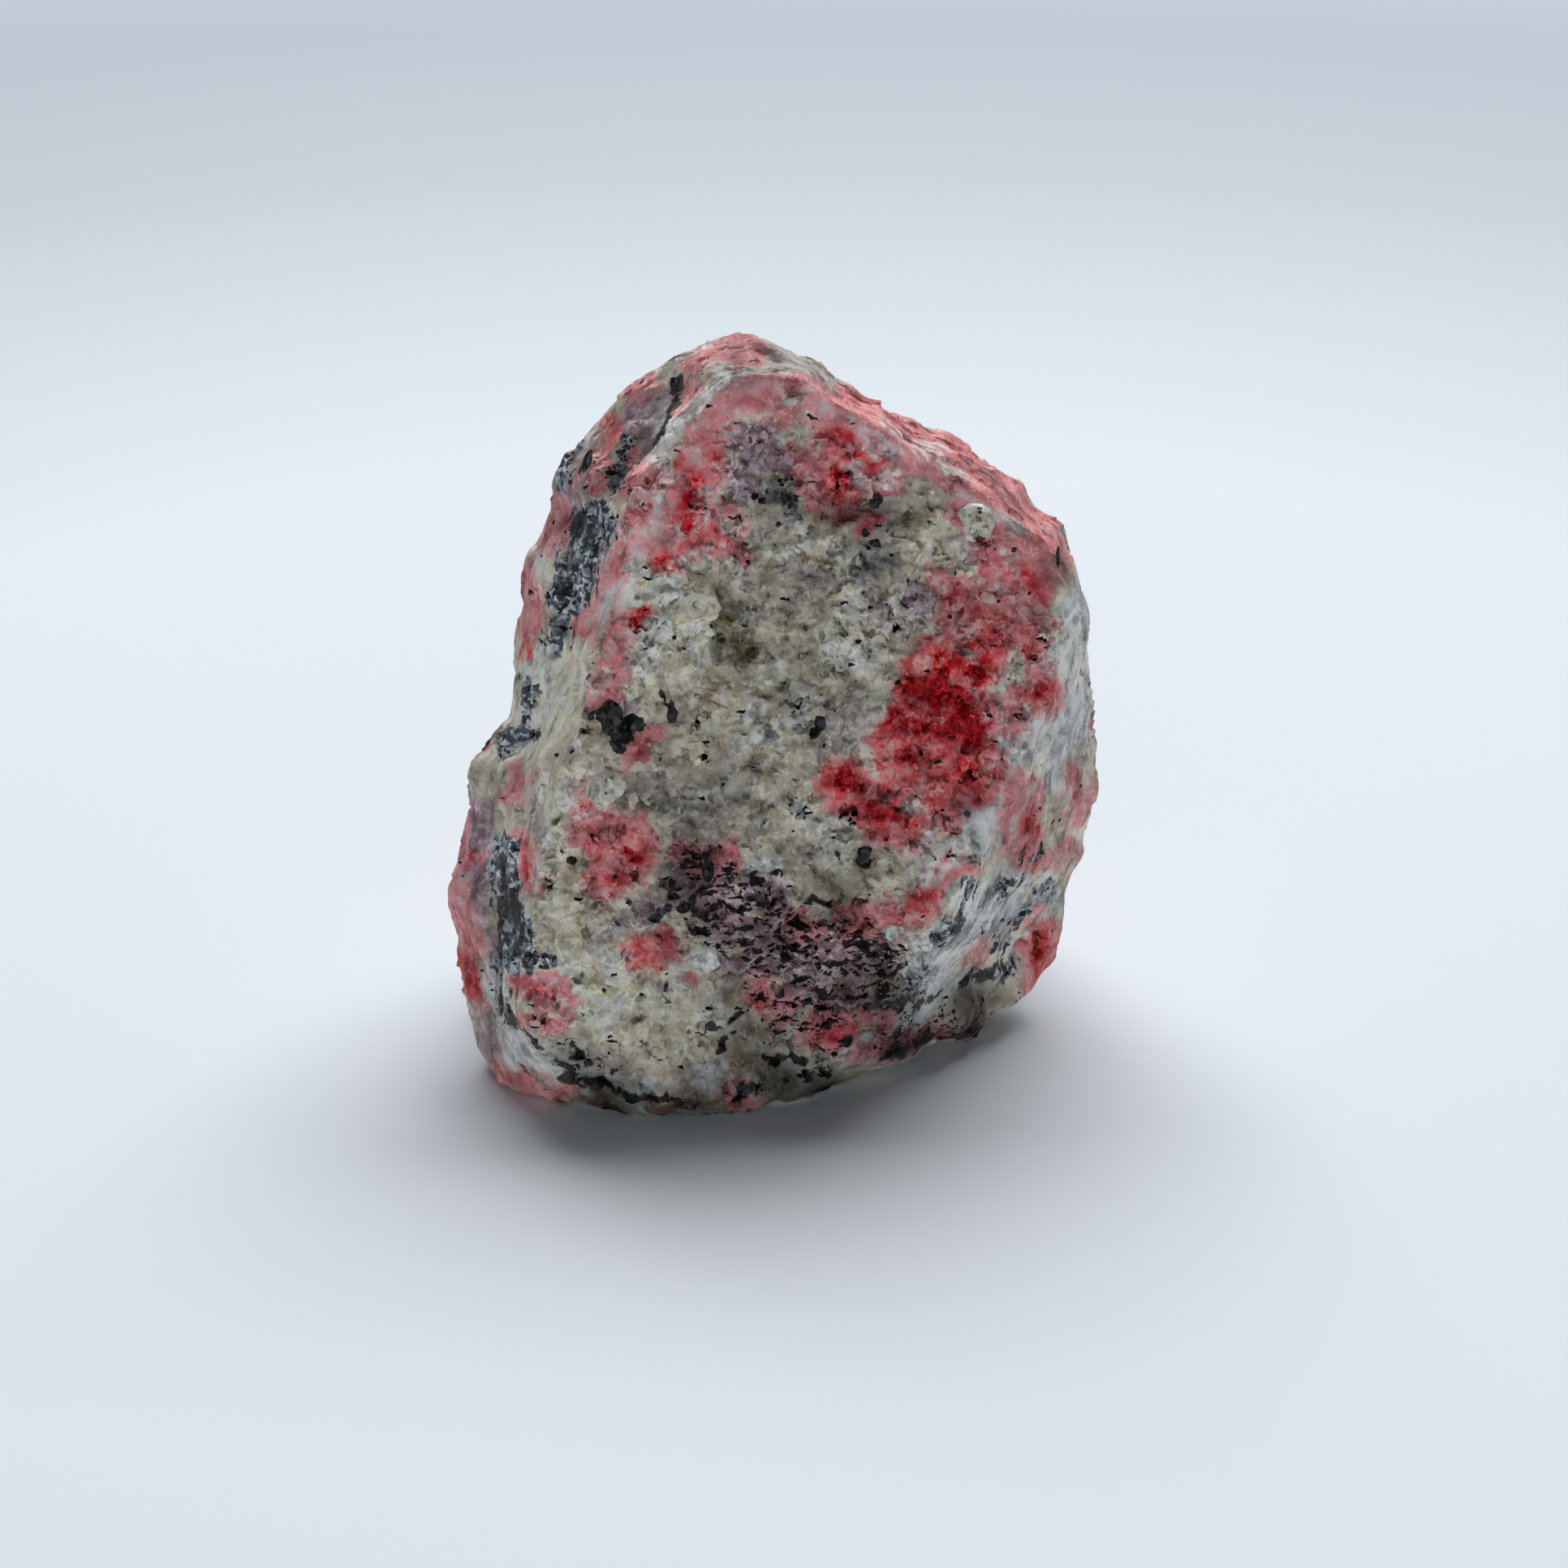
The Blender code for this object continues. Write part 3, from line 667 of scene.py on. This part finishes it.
def relief_nodes():
    """Geometry nodes that raise the broken grains of the faces and the fine ledges of the flanks."""
    tree = bpy.data.node_groups.new("broken_grains", "GeometryNodeTree")
    tree.interface.new_socket("Geometry", in_out="INPUT", socket_type="NodeSocketGeometry")
    tree.interface.new_socket("Geometry", in_out="OUTPUT", socket_type="NodeSocketGeometry")
    start = put("NodeGroupInput", tree=tree)
    end = put("NodeGroupOutput", tree=tree)

    def named(name, kind="FLOAT"):
        return put("GeometryNodeInputNamedAttribute", (name,), tree, data_type=kind).outputs[0]

    rest = named("rest", "FLOAT_VECTOR")
    outward = named("outward", "FLOAT_VECTOR")
    flank = named("flank")
    grains = facets(rest, size=2.0, slope=0.78, level=0.5)
    fine_grains = facets(rest, size=0.95, slope=0.6, level=0.2)
    streaks = clouds(drawn_out(rest, 6.0), 1.5, 4.0, 0.6).outputs[0]
    slivers = facets(drawn_out(rest, 3.0), size=1.2, slope=0.5, level=0.4)
    face = sums("ADD", grains, fine_grains)
    side = sums("ADD", times(sums("SUBTRACT", streaks, 0.5), 1.1), slivers)
    blend = step(flank, 0.3, 0.7)
    height = sums("ADD", face, times(blend, sums("SUBTRACT", side, face)))
    worn = times(sums("SUBTRACT", height, named("hollow")), named("rough"))
    offset = vectors("SCALE", outward, scale=times(worn, MM))
    moved = put("GeometryNodeSetPosition", (start.outputs[0], None, None, offset))
    fill(end.inputs[0], moved.outputs[0])
    return tree


def turned(turns):
    """The surface's direction, turned by colours that run from 0 to 1, each by its own share."""
    direction = put("ShaderNodeNewGeometry", tree=turns[0][0].id_data).outputs["Normal"]
    for colour, share in turns:
        turn = vectors("SUBTRACT", colour, (0.5, 0.5, 0.5))
        direction = vectors("ADD", direction, vectors("SCALE", turn, scale=share))
    return vectors("NORMALIZE", direction)


def new_material(name):
    material = bpy.data.materials.new(name)
    material.use_nodes = True
    return material, material.node_tree


def finished(material, sockets):
    """The material, with its shader's sockets filled by name."""
    surface = material.node_tree.nodes["Principled BSDF"]
    for name, value in sockets.items():
        fill(surface.inputs[name], value)
    return material


def stone_material():
    """Feldspar grains with patches of the other minerals, read from the stone's attributes."""
    material, tree = new_material("rhodonite_rock")

    def kept(name, output="Fac"):
        return put("ShaderNodeAttribute", tree=tree, attribute_name=name).outputs[output]

    rest = kept("rest", "Vector")
    flank = step(kept("flank"), 0.3, 0.7)
    shake = clouds(rest, 0.9, 2.0).outputs["Color"]
    bent = vectors("ADD", rest, vectors("SCALE", shake, scale=0.9))
    large = cells(bent, 1.9)
    grain = cells(bent, 0.8)
    grit = cells(bent, 0.36)
    cloud = clouds(rest, size=1.5, detail=5.0, rough=0.58)
    streak = clouds(drawn_out(bent, 5.0), size=0.75, detail=4.0, rough=0.65)

    def border(mineral, axis, width, loose=1.0):
        """1 in a mineral's patches and 0 outside, with a border that follows grains and streaks."""
        whole = scaled(level_of(grain, axis), 0.9, -0.45)
        ragged = scaled(level_of(cloud, axis), 3.6, -1.8)
        drawn = scaled(level_of(streak, axis), 4.0, -2.0)
        on_face = sums("ADD", whole, ragged)
        jitter = scaled(flank, sums("SUBTRACT", drawn, on_face), on_face)
        depth = scaled(jitter, loose, kept(mineral))
        return step(depth, -width, width)

    own = level_of(grain, 2)
    own_grit = level_of(grit, 0)
    speckle = scaled(own_grit, 0.45, times(own, 0.55))
    veins = scaled(streak.outputs[0], 2.0, -0.5)
    texture = scaled(flank, sums("SUBTRACT", veins, speckle), speckle)
    wide = scaled(cloud.outputs[0], 1.2, -0.35)
    mottle = scaled(texture, 0.6, sums("SUBTRACT", wide, 0.04))
    drift = scaled(clouds(rest, 4.5, 2.0).outputs[0], 1.2, -0.64)
    broad = scaled(level_of(large, 1), 0.32, scaled(mottle, 0.75, drift))

    def coloured(mineral, place=mottle):
        return ramp(place, COLOURS[mineral])

    # Black flecks and dashes, thick in the peppered bands; single flecks elsewhere.
    torn = vectors("ADD", bent, vectors("SCALE", cloud.outputs["Color"], scale=0.8))
    flattened = vectors("MULTIPLY", torn, (0.4, 1.0, 1.0))
    fleck = cells(flattened, 0.42)
    band = sums("ADD", kept("pepper"), scaled(cloud.outputs[0], 4.0, -2.0))
    chosen = sums("LESS_THAN", level_of(fleck, 2), step(band, -1.2, 1.2, 0.02, 0.75))
    own_radius = scaled(level_of(fleck, 1), 0.35, 0.16)
    body = sums("LESS_THAN", fleck.outputs["Distance"], own_radius)
    dash = clouds(flattened, 0.75, 3.0, 0.6).outputs[0]
    dashes = step(dash, 0.53, 0.57, 0.0, step(band, -0.3, 1.0))
    flecks = sums("MAXIMUM", times(chosen, body), dashes)

    # Thin dark threads along the fibres.
    thread = clouds(drawn_out(bent, 9.0), size=0.5, detail=3.0, rough=0.6).outputs[0]

    # Feldspar, with everything else laid over it one by one.
    milky = step(level_of(grain, 1), 0.3, 0.7)
    colour = mix(milky, coloured("feldspar", broad), coloured("clear", broad))
    # Olive lies in the hollows of the front as partly painted shade.
    for place, mineral in enumerate(("cream", "sugar", "white", "beige", "grey", "olive_and_painted_shade", "mauve")):
        colour = mix(border(mineral, place % 3, 0.7), colour, coloured(mineral))
    shade = scaled(streak.outputs[0], 0.5, times(own_grit, 0.5))
    layers = (
        (border("pink", 0, 0.55), coloured("pink")),
        # Near-white spots on a few fine grains: bruises, and partly painted glints.
        (times(sums("GREATER_THAN", own_grit, 0.94), 0.3), BRUISE_AND_GLINT),
        (border("rose", 2, 0.7, 0.7), coloured("rose")),
        (border("red", 1, 0.6, 0.7), coloured("red")),
        (times(border("frost", 2, 0.3, 0.6), 0.8), coloured("white")),
        (border("dark", 2, 0.15), coloured("dark", shade)),
        # Dark streaks, and painted shade on the underside along the bottom.
        (border("soot_and_painted_shade", 0, 0.12, 0.6), coloured("soot_and_painted_shade", texture)),
        (times(border("stain", 0, 0.6), 0.8), STAIN),
        (step(band, -0.8, 1.6, 0.0, 0.4), SMOKE),
        (flecks, FLECK),
        (step(scaled(own_grit, 0.15, cloud.outputs[0]), 0.4, 0.28, 0.0, 0.35), GRIME),
        (times(step(thread, 0.56, 0.64, 0.0, 0.5), flank), THREAD),
    )
    for share, over in layers:
        colour = mix(share, colour, over)

    # Painted shade in the crevices between the grains, and painted glints on a few small grains.
    edge = cells(bent, 0.8, "DISTANCE_TO_EDGE").outputs["Distance"]
    open_places = step(level_of(cloud, 1), 0.48, 0.62, 0.0, 0.8)
    gap = times(step(edge, 0.01, 0.1, 1.0, 0.0), open_places)
    gap = times(gap, sums("SUBTRACT", 1.0, flank))
    colour = put("ShaderNodeGamma", (colour, scaled(gap, 0.9, 1.0))).outputs[0]
    # Painted glints: a few small spots made lighter, as if catching the light.
    spark = cells(bent, 0.22)
    few = sums("GREATER_THAN", level_of(spark, 1), 0.9)
    glint = times(few, sums("LESS_THAN", spark.outputs["Distance"], 0.44))
    colour = put("ShaderNodeGamma", (colour, scaled(glint, -0.4, 1.0))).outputs[0]
    # Painted light and shade, with some of the stone's own tone: each place made lighter or darker by its
    # share.
    painted_light_and_tone = scaled(kept("painted_light_and_tone"), PAINTED_LIGHT_AND_TONE_STEP, 1.0)
    lightest = vectors("MAXIMUM", colour, LIGHTEST)
    colour = vectors("MINIMUM", vectors("SCALE", colour, scale=painted_light_and_tone), lightest)

    # Every grain turns its own way.
    turns = [
        (grains.outputs["Color"], scaled(flank, -0.6 * most, most))
        for grains, most in ((large, 0.8), (grain, 0.9), (grit, 0.8))
    ]
    turns.append((streak.outputs["Color"], times(flank, 3.5)))
    return finished(material, {
        "Base Color": colour,
        "Roughness": scaled(own, 0.35, 0.3),
        "Specular IOR Level": 0.14,
        "Normal": turned(turns),
    })


# --- crystals ---


def faceted_lump(chance, cuts):
    """A lump about 2 across with flat faces cut all round it."""
    bpy.ops.mesh.primitive_ico_sphere_add(subdivisions=2, radius=1.0)
    lump = bpy.context.object
    bpy.ops.object.mode_set(mode="EDIT")
    for _ in range(cuts):
        outward = Vector([chance.gauss(0.0, 1.0) for _ in range(3)]).normalized()
        bpy.ops.mesh.select_all(action="SELECT")
        middle = outward * chance.uniform(*CUTS)
        bpy.ops.mesh.bisect(plane_co=middle, plane_no=outward, use_fill=True, clear_outer=True)
    bpy.ops.object.mode_set(mode="OBJECT")
    return lump


def joined(pieces, name, material):
    """Joins pieces into one finished object."""
    only(*pieces)
    bpy.ops.object.join()
    whole = bpy.context.object
    whole.name = whole.data.name = name
    whole.data.materials.clear()
    whole.data.materials.append(material)
    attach(whole, "root")
    return whole


def crystals(places, thickness, sunk, seed):
    """Makes faceted crystals on the stone's front, each at its pixel of the front view."""
    chance = random.Random(seed)
    stone = bpy.context.scene.objects["stone"]
    surface = BVHTree.FromObject(stone, bpy.context.evaluated_depsgraph_get())
    across, up, _ = view_axes()
    made = []
    for right, down, width, height, turned_by in places:
        ray = view_ray(right, down)
        hit = surface.ray_cast(view_place(), ray)[0]
        if hit is None:
            raise RuntimeError(f"no stone at pixel {right}, {down}")
        lump = faceted_lump(chance, cuts=9)
        size = Vector((width, height, min(width, height) * thickness)) * (PIXEL * MM / 2 / CUTS[1])
        turn = Matrix.Rotation(math.radians(turned_by), 4, -ray)
        sides = ((turn @ across) * size.x, (turn @ up) * size.y, -ray * size.z)
        place = Matrix(sides).transposed().to_4x4()
        place.translation = hit + ray * size.z * sunk
        lump.data.transform(place)
        made.append(lump)
    return made


def black_material():
    """Black crystal with a sheen that changes from one small face to the next."""
    material, tree = new_material("black_crystal")
    face = cells(put("ShaderNodeTexCoord", tree=tree).outputs["Object"], 0.5 * MM)
    return finished(material, {
        "Base Color": (0.01, 0.009, 0.009, 1.0),
        "Roughness": scaled(level_of(face, 0), 0.4, 0.15),
        "Specular IOR Level": 0.5,
        "Normal": turned([(face.outputs["Color"], 1.2)]),
    })


# --- settings ---


class StoneLook(bpy.types.PropertyGroup):
    """Sizes and finish of the stone."""

    fineness: FloatProperty(
        name="Fineness", description="Distance between the points of the stone's surface",
        default=0.37 * MM, unit="LENGTH",
    )


class StudioLook(bpy.types.PropertyGroup):
    """Light and floor of the studio."""

    sky: FloatVectorProperty(
        name="Sky", description="Colour of the light from all round",
        default=(0.75, 0.9, 1.0), subtype="COLOR",
    )
    sky_strength: FloatProperty(name="Sky strength", description="Strength of that light", default=0.035)
    lamp_power: FloatProperty(
        name="Lamp power", description="Power of the wide lamp overhead", default=50.0, unit="POWER"
    )
    fill_power: FloatProperty(
        name="Fill power", description="Power of the weak lamp in front", default=3.7, unit="POWER"
    )


# --- pieces ---


class SPECIMEN_OT_stone(bpy.types.Operator):
    """The whole stone: its broken faces in fine relief, with its minerals"""

    bl_idname = "specimen.stone"
    bl_label = "Stone"

    def execute(self, context):
        stone = bpy.data.objects.new("stone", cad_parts[NODE].data.copy())
        stone.data.name = "stone"
        context.scene.collection.objects.link(stone)
        only(stone)
        bpy.ops.object.mode_set(mode="EDIT")
        bpy.ops.mesh.select_all(action="SELECT")
        bpy.ops.mesh.remove_doubles(threshold=0.001 * MM)
        bpy.ops.object.mode_set(mode="OBJECT")
        stone.modifiers.new("rounder", "SUBSURF").levels = 1
        apply(stone, stone.modifiers[0])
        even = stone.modifiers.new("even", "REMESH")
        even.mode = "VOXEL"
        even.voxel_size = context.scene.stone_look.fineness
        apply(stone, even)
        self.measure(stone.data)
        grains = stone.modifiers.new("grains", "NODES")
        grains.node_group = relief_nodes()
        apply(stone, grains)
        self.settle(stone.data)
        stone.data.materials.clear()
        stone.data.materials.append(stone_material())
        only(stone)
        bpy.ops.object.shade_smooth()
        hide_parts(NODE)
        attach(stone, "root")
        return {"FINISHED"}

    def measure(self, mesh):
        """Keeps what the relief and the material read: place, outward direction, finish, painted light and
        shade, and minerals.
        """
        outward = unit(eased(mesh, normals(mesh), rounds=8))
        broad = unit(eased(mesh, outward, rounds=30))
        facing = broad @ -np.array(view_axes()[2])
        front = smoothstep(*FRONT_FADE, facing)
        level = np.abs(broad @ np.array(LAYER_NORMAL))
        store(mesh, "rest", corners(mesh) / MM)
        store(mesh, "outward", outward)
        fibres = np.minimum(bumps(mesh, FIBRES) * front, 1.0)
        # The relief is lower on the fibres and at the back, and there is none where the stone stands.
        rough = (1.0 - smoothstep(*SOLE_FADE, -broad[:, 2])) * (1.0 - 0.35 * fibres)
        store(mesh, "rough", rough * (0.55 + 0.45 * smoothstep(*RELIEF_FADE, facing)))
        store(mesh, "flank", np.maximum(1.0 - smoothstep(*FACE_FADE, level), fibres))
        raised = bumps(mesh, SWELLS) * smoothstep(*SWELL_FADE, facing)
        store(mesh, "hollow", bumps(mesh, HOLLOWS) * front - raised)
        # Painted light and shade of the front view, with some of the stone's own tone.
        store(mesh, "painted_light_and_tone", bumps(mesh, PAINTED_LIGHT_AND_TONES) * front)
        minerals(mesh, facing)

    def settle(self, mesh):
        """Lets no point lie below the surface that the stone stands on."""
        places = corners(mesh)
        places[:, 2] = np.maximum(places[:, 2], 0.0)
        mesh.vertices.foreach_set("co", places.ravel())
        mesh.update()


class SPECIMEN_OT_crystals(bpy.types.Operator):
    """Black crystals and the largest pale ones, set in the stone's front"""

    bl_idname = "specimen.crystals"
    bl_label = "Crystals"

    def execute(self, context):
        black = crystals(BLACK_CRYSTALS, thickness=0.8, sunk=0.35, seed=7)
        joined(black, "black_crystals", black_material())
        pale = crystals([row[:-1] for row in LARGE_CRYSTALS], thickness=0.45, sunk=0.55, seed=3)
        for lump, (*_, own_mineral) in zip(pale, LARGE_CRYSTALS):
            for mineral in STROKES:
                depth = DEEPEST if mineral == own_mineral else -DEEPEST
                store(lump.data, mineral, np.full(len(lump.data.vertices), depth))
        large = joined(pale, "large_crystals", bpy.data.materials["rhodonite_rock"])
        store(large.data, "rest", corners(large.data) / MM)
        return {"FINISHED"}


class SPECIMEN_OT_studio(bpy.types.Operator):
    """A pale floor, soft light and the camera of the front view"""

    bl_idname = "specimen.studio"
    bl_label = "Studio"

    def execute(self, context):
        look = context.scene.studio_look
        self.floor()
        self.sky(context.scene, look)
        self.lamp("overhead", OVERHEAD_PLACE, OVERHEAD_SIZE, look.lamp_power, (0.96, 0.98, 1.0))
        self.lamp("front", FRONT_PLACE, FRONT_SIZE, look.fill_power, (0.86, 0.94, 1.0))
        self.camera(context.scene)
        context.scene.view_settings.view_transform = "Standard"
        return {"FINISHED"}

    def floor(self):
        bpy.ops.mesh.primitive_plane_add(size=FLOOR_SIZE)
        floor = bpy.context.object
        floor.name = "floor"
        material, tree = new_material("pale_paper")
        place = put("ShaderNodeTexCoord", tree=tree).outputs["Object"]
        distance = put("ShaderNodeVectorMath", (place,), operation="LENGTH").outputs["Value"]
        floor.data.materials.append(finished(material, {
            # Colour darkens with distance from the stone: painted shade.
            "Base Color": ramp(distance, FLOOR_COLOUR_WITH_PAINTED_SHADE),
            "Roughness": 0.8,
            "Specular IOR Level": 0.2,
            "Emission Color": ramp(times(distance, 1.0 / GLOW_REACH), FLOOR_GLOW),
            "Emission Strength": 1.0,
        }))

    def sky(self, scene, look):
        world = bpy.data.worlds.new("studio")
        world.use_nodes = True
        background = world.node_tree.nodes["Background"]
        background.inputs["Color"].default_value = (*look.sky, 1.0)
        background.inputs["Strength"].default_value = look.sky_strength
        scene.world = world

    def placed(self, name, data, place, ahead):
        """A lamp or camera at a place in metres, looking ahead."""
        made = bpy.data.objects.new(name, data)
        made.location = place
        made.rotation_euler = ahead.to_track_quat("-Z", "Y").to_euler()
        bpy.context.scene.collection.objects.link(made)
        return made

    def lamp(self, name, place, size, power, colour):
        light = bpy.data.lights.new(name, "AREA")
        light.shape = "RECTANGLE"
        light.size, light.size_y = size
        light.energy = power
        light.color = colour
        self.placed(name, light, place, -Vector(place)).visible_camera = False

    def camera(self, scene):
        data = bpy.data.cameras.new("front_view")
        data.lens = VIEW_LENS
        data.sensor_width = VIEW_SENSOR
        data.clip_start = 0.01
        scene.camera = self.placed("front_view", data, view_place(), view_axes()[2])


class SPECIMEN_PT_panel(bpy.types.Panel):
    bl_label = "Rhodonite Specimen"
    bl_space_type = "VIEW_3D"
    bl_region_type = "UI"
    bl_category = "Specimen"

    def draw(self, context):
        for piece in PIECES:
            self.layout.operator(piece.bl_idname)
        for look in (context.scene.stone_look, context.scene.studio_look):
            for name in look.bl_rna.properties.keys():
                if name not in ("rna_type", "name"):
                    self.layout.prop(look, name)


PIECES = (SPECIMEN_OT_stone, SPECIMEN_OT_crystals, SPECIMEN_OT_studio)
CLASSES = (StoneLook, StudioLook, *PIECES, SPECIMEN_PT_panel)


def register():
    for made in CLASSES:
        bpy.utils.register_class(made)
    bpy.types.Scene.stone_look = PointerProperty(type=StoneLook)
    bpy.types.Scene.studio_look = PointerProperty(type=StudioLook)


def unregister():
    del bpy.types.Scene.studio_look
    del bpy.types.Scene.stone_look
    for made in reversed(CLASSES):
        bpy.utils.unregister_class(made)


def main():
    register()
    bpy.ops.specimen.stone()
    bpy.ops.specimen.crystals()
    bpy.ops.specimen.studio()


if __name__ == "__main__":
    main()
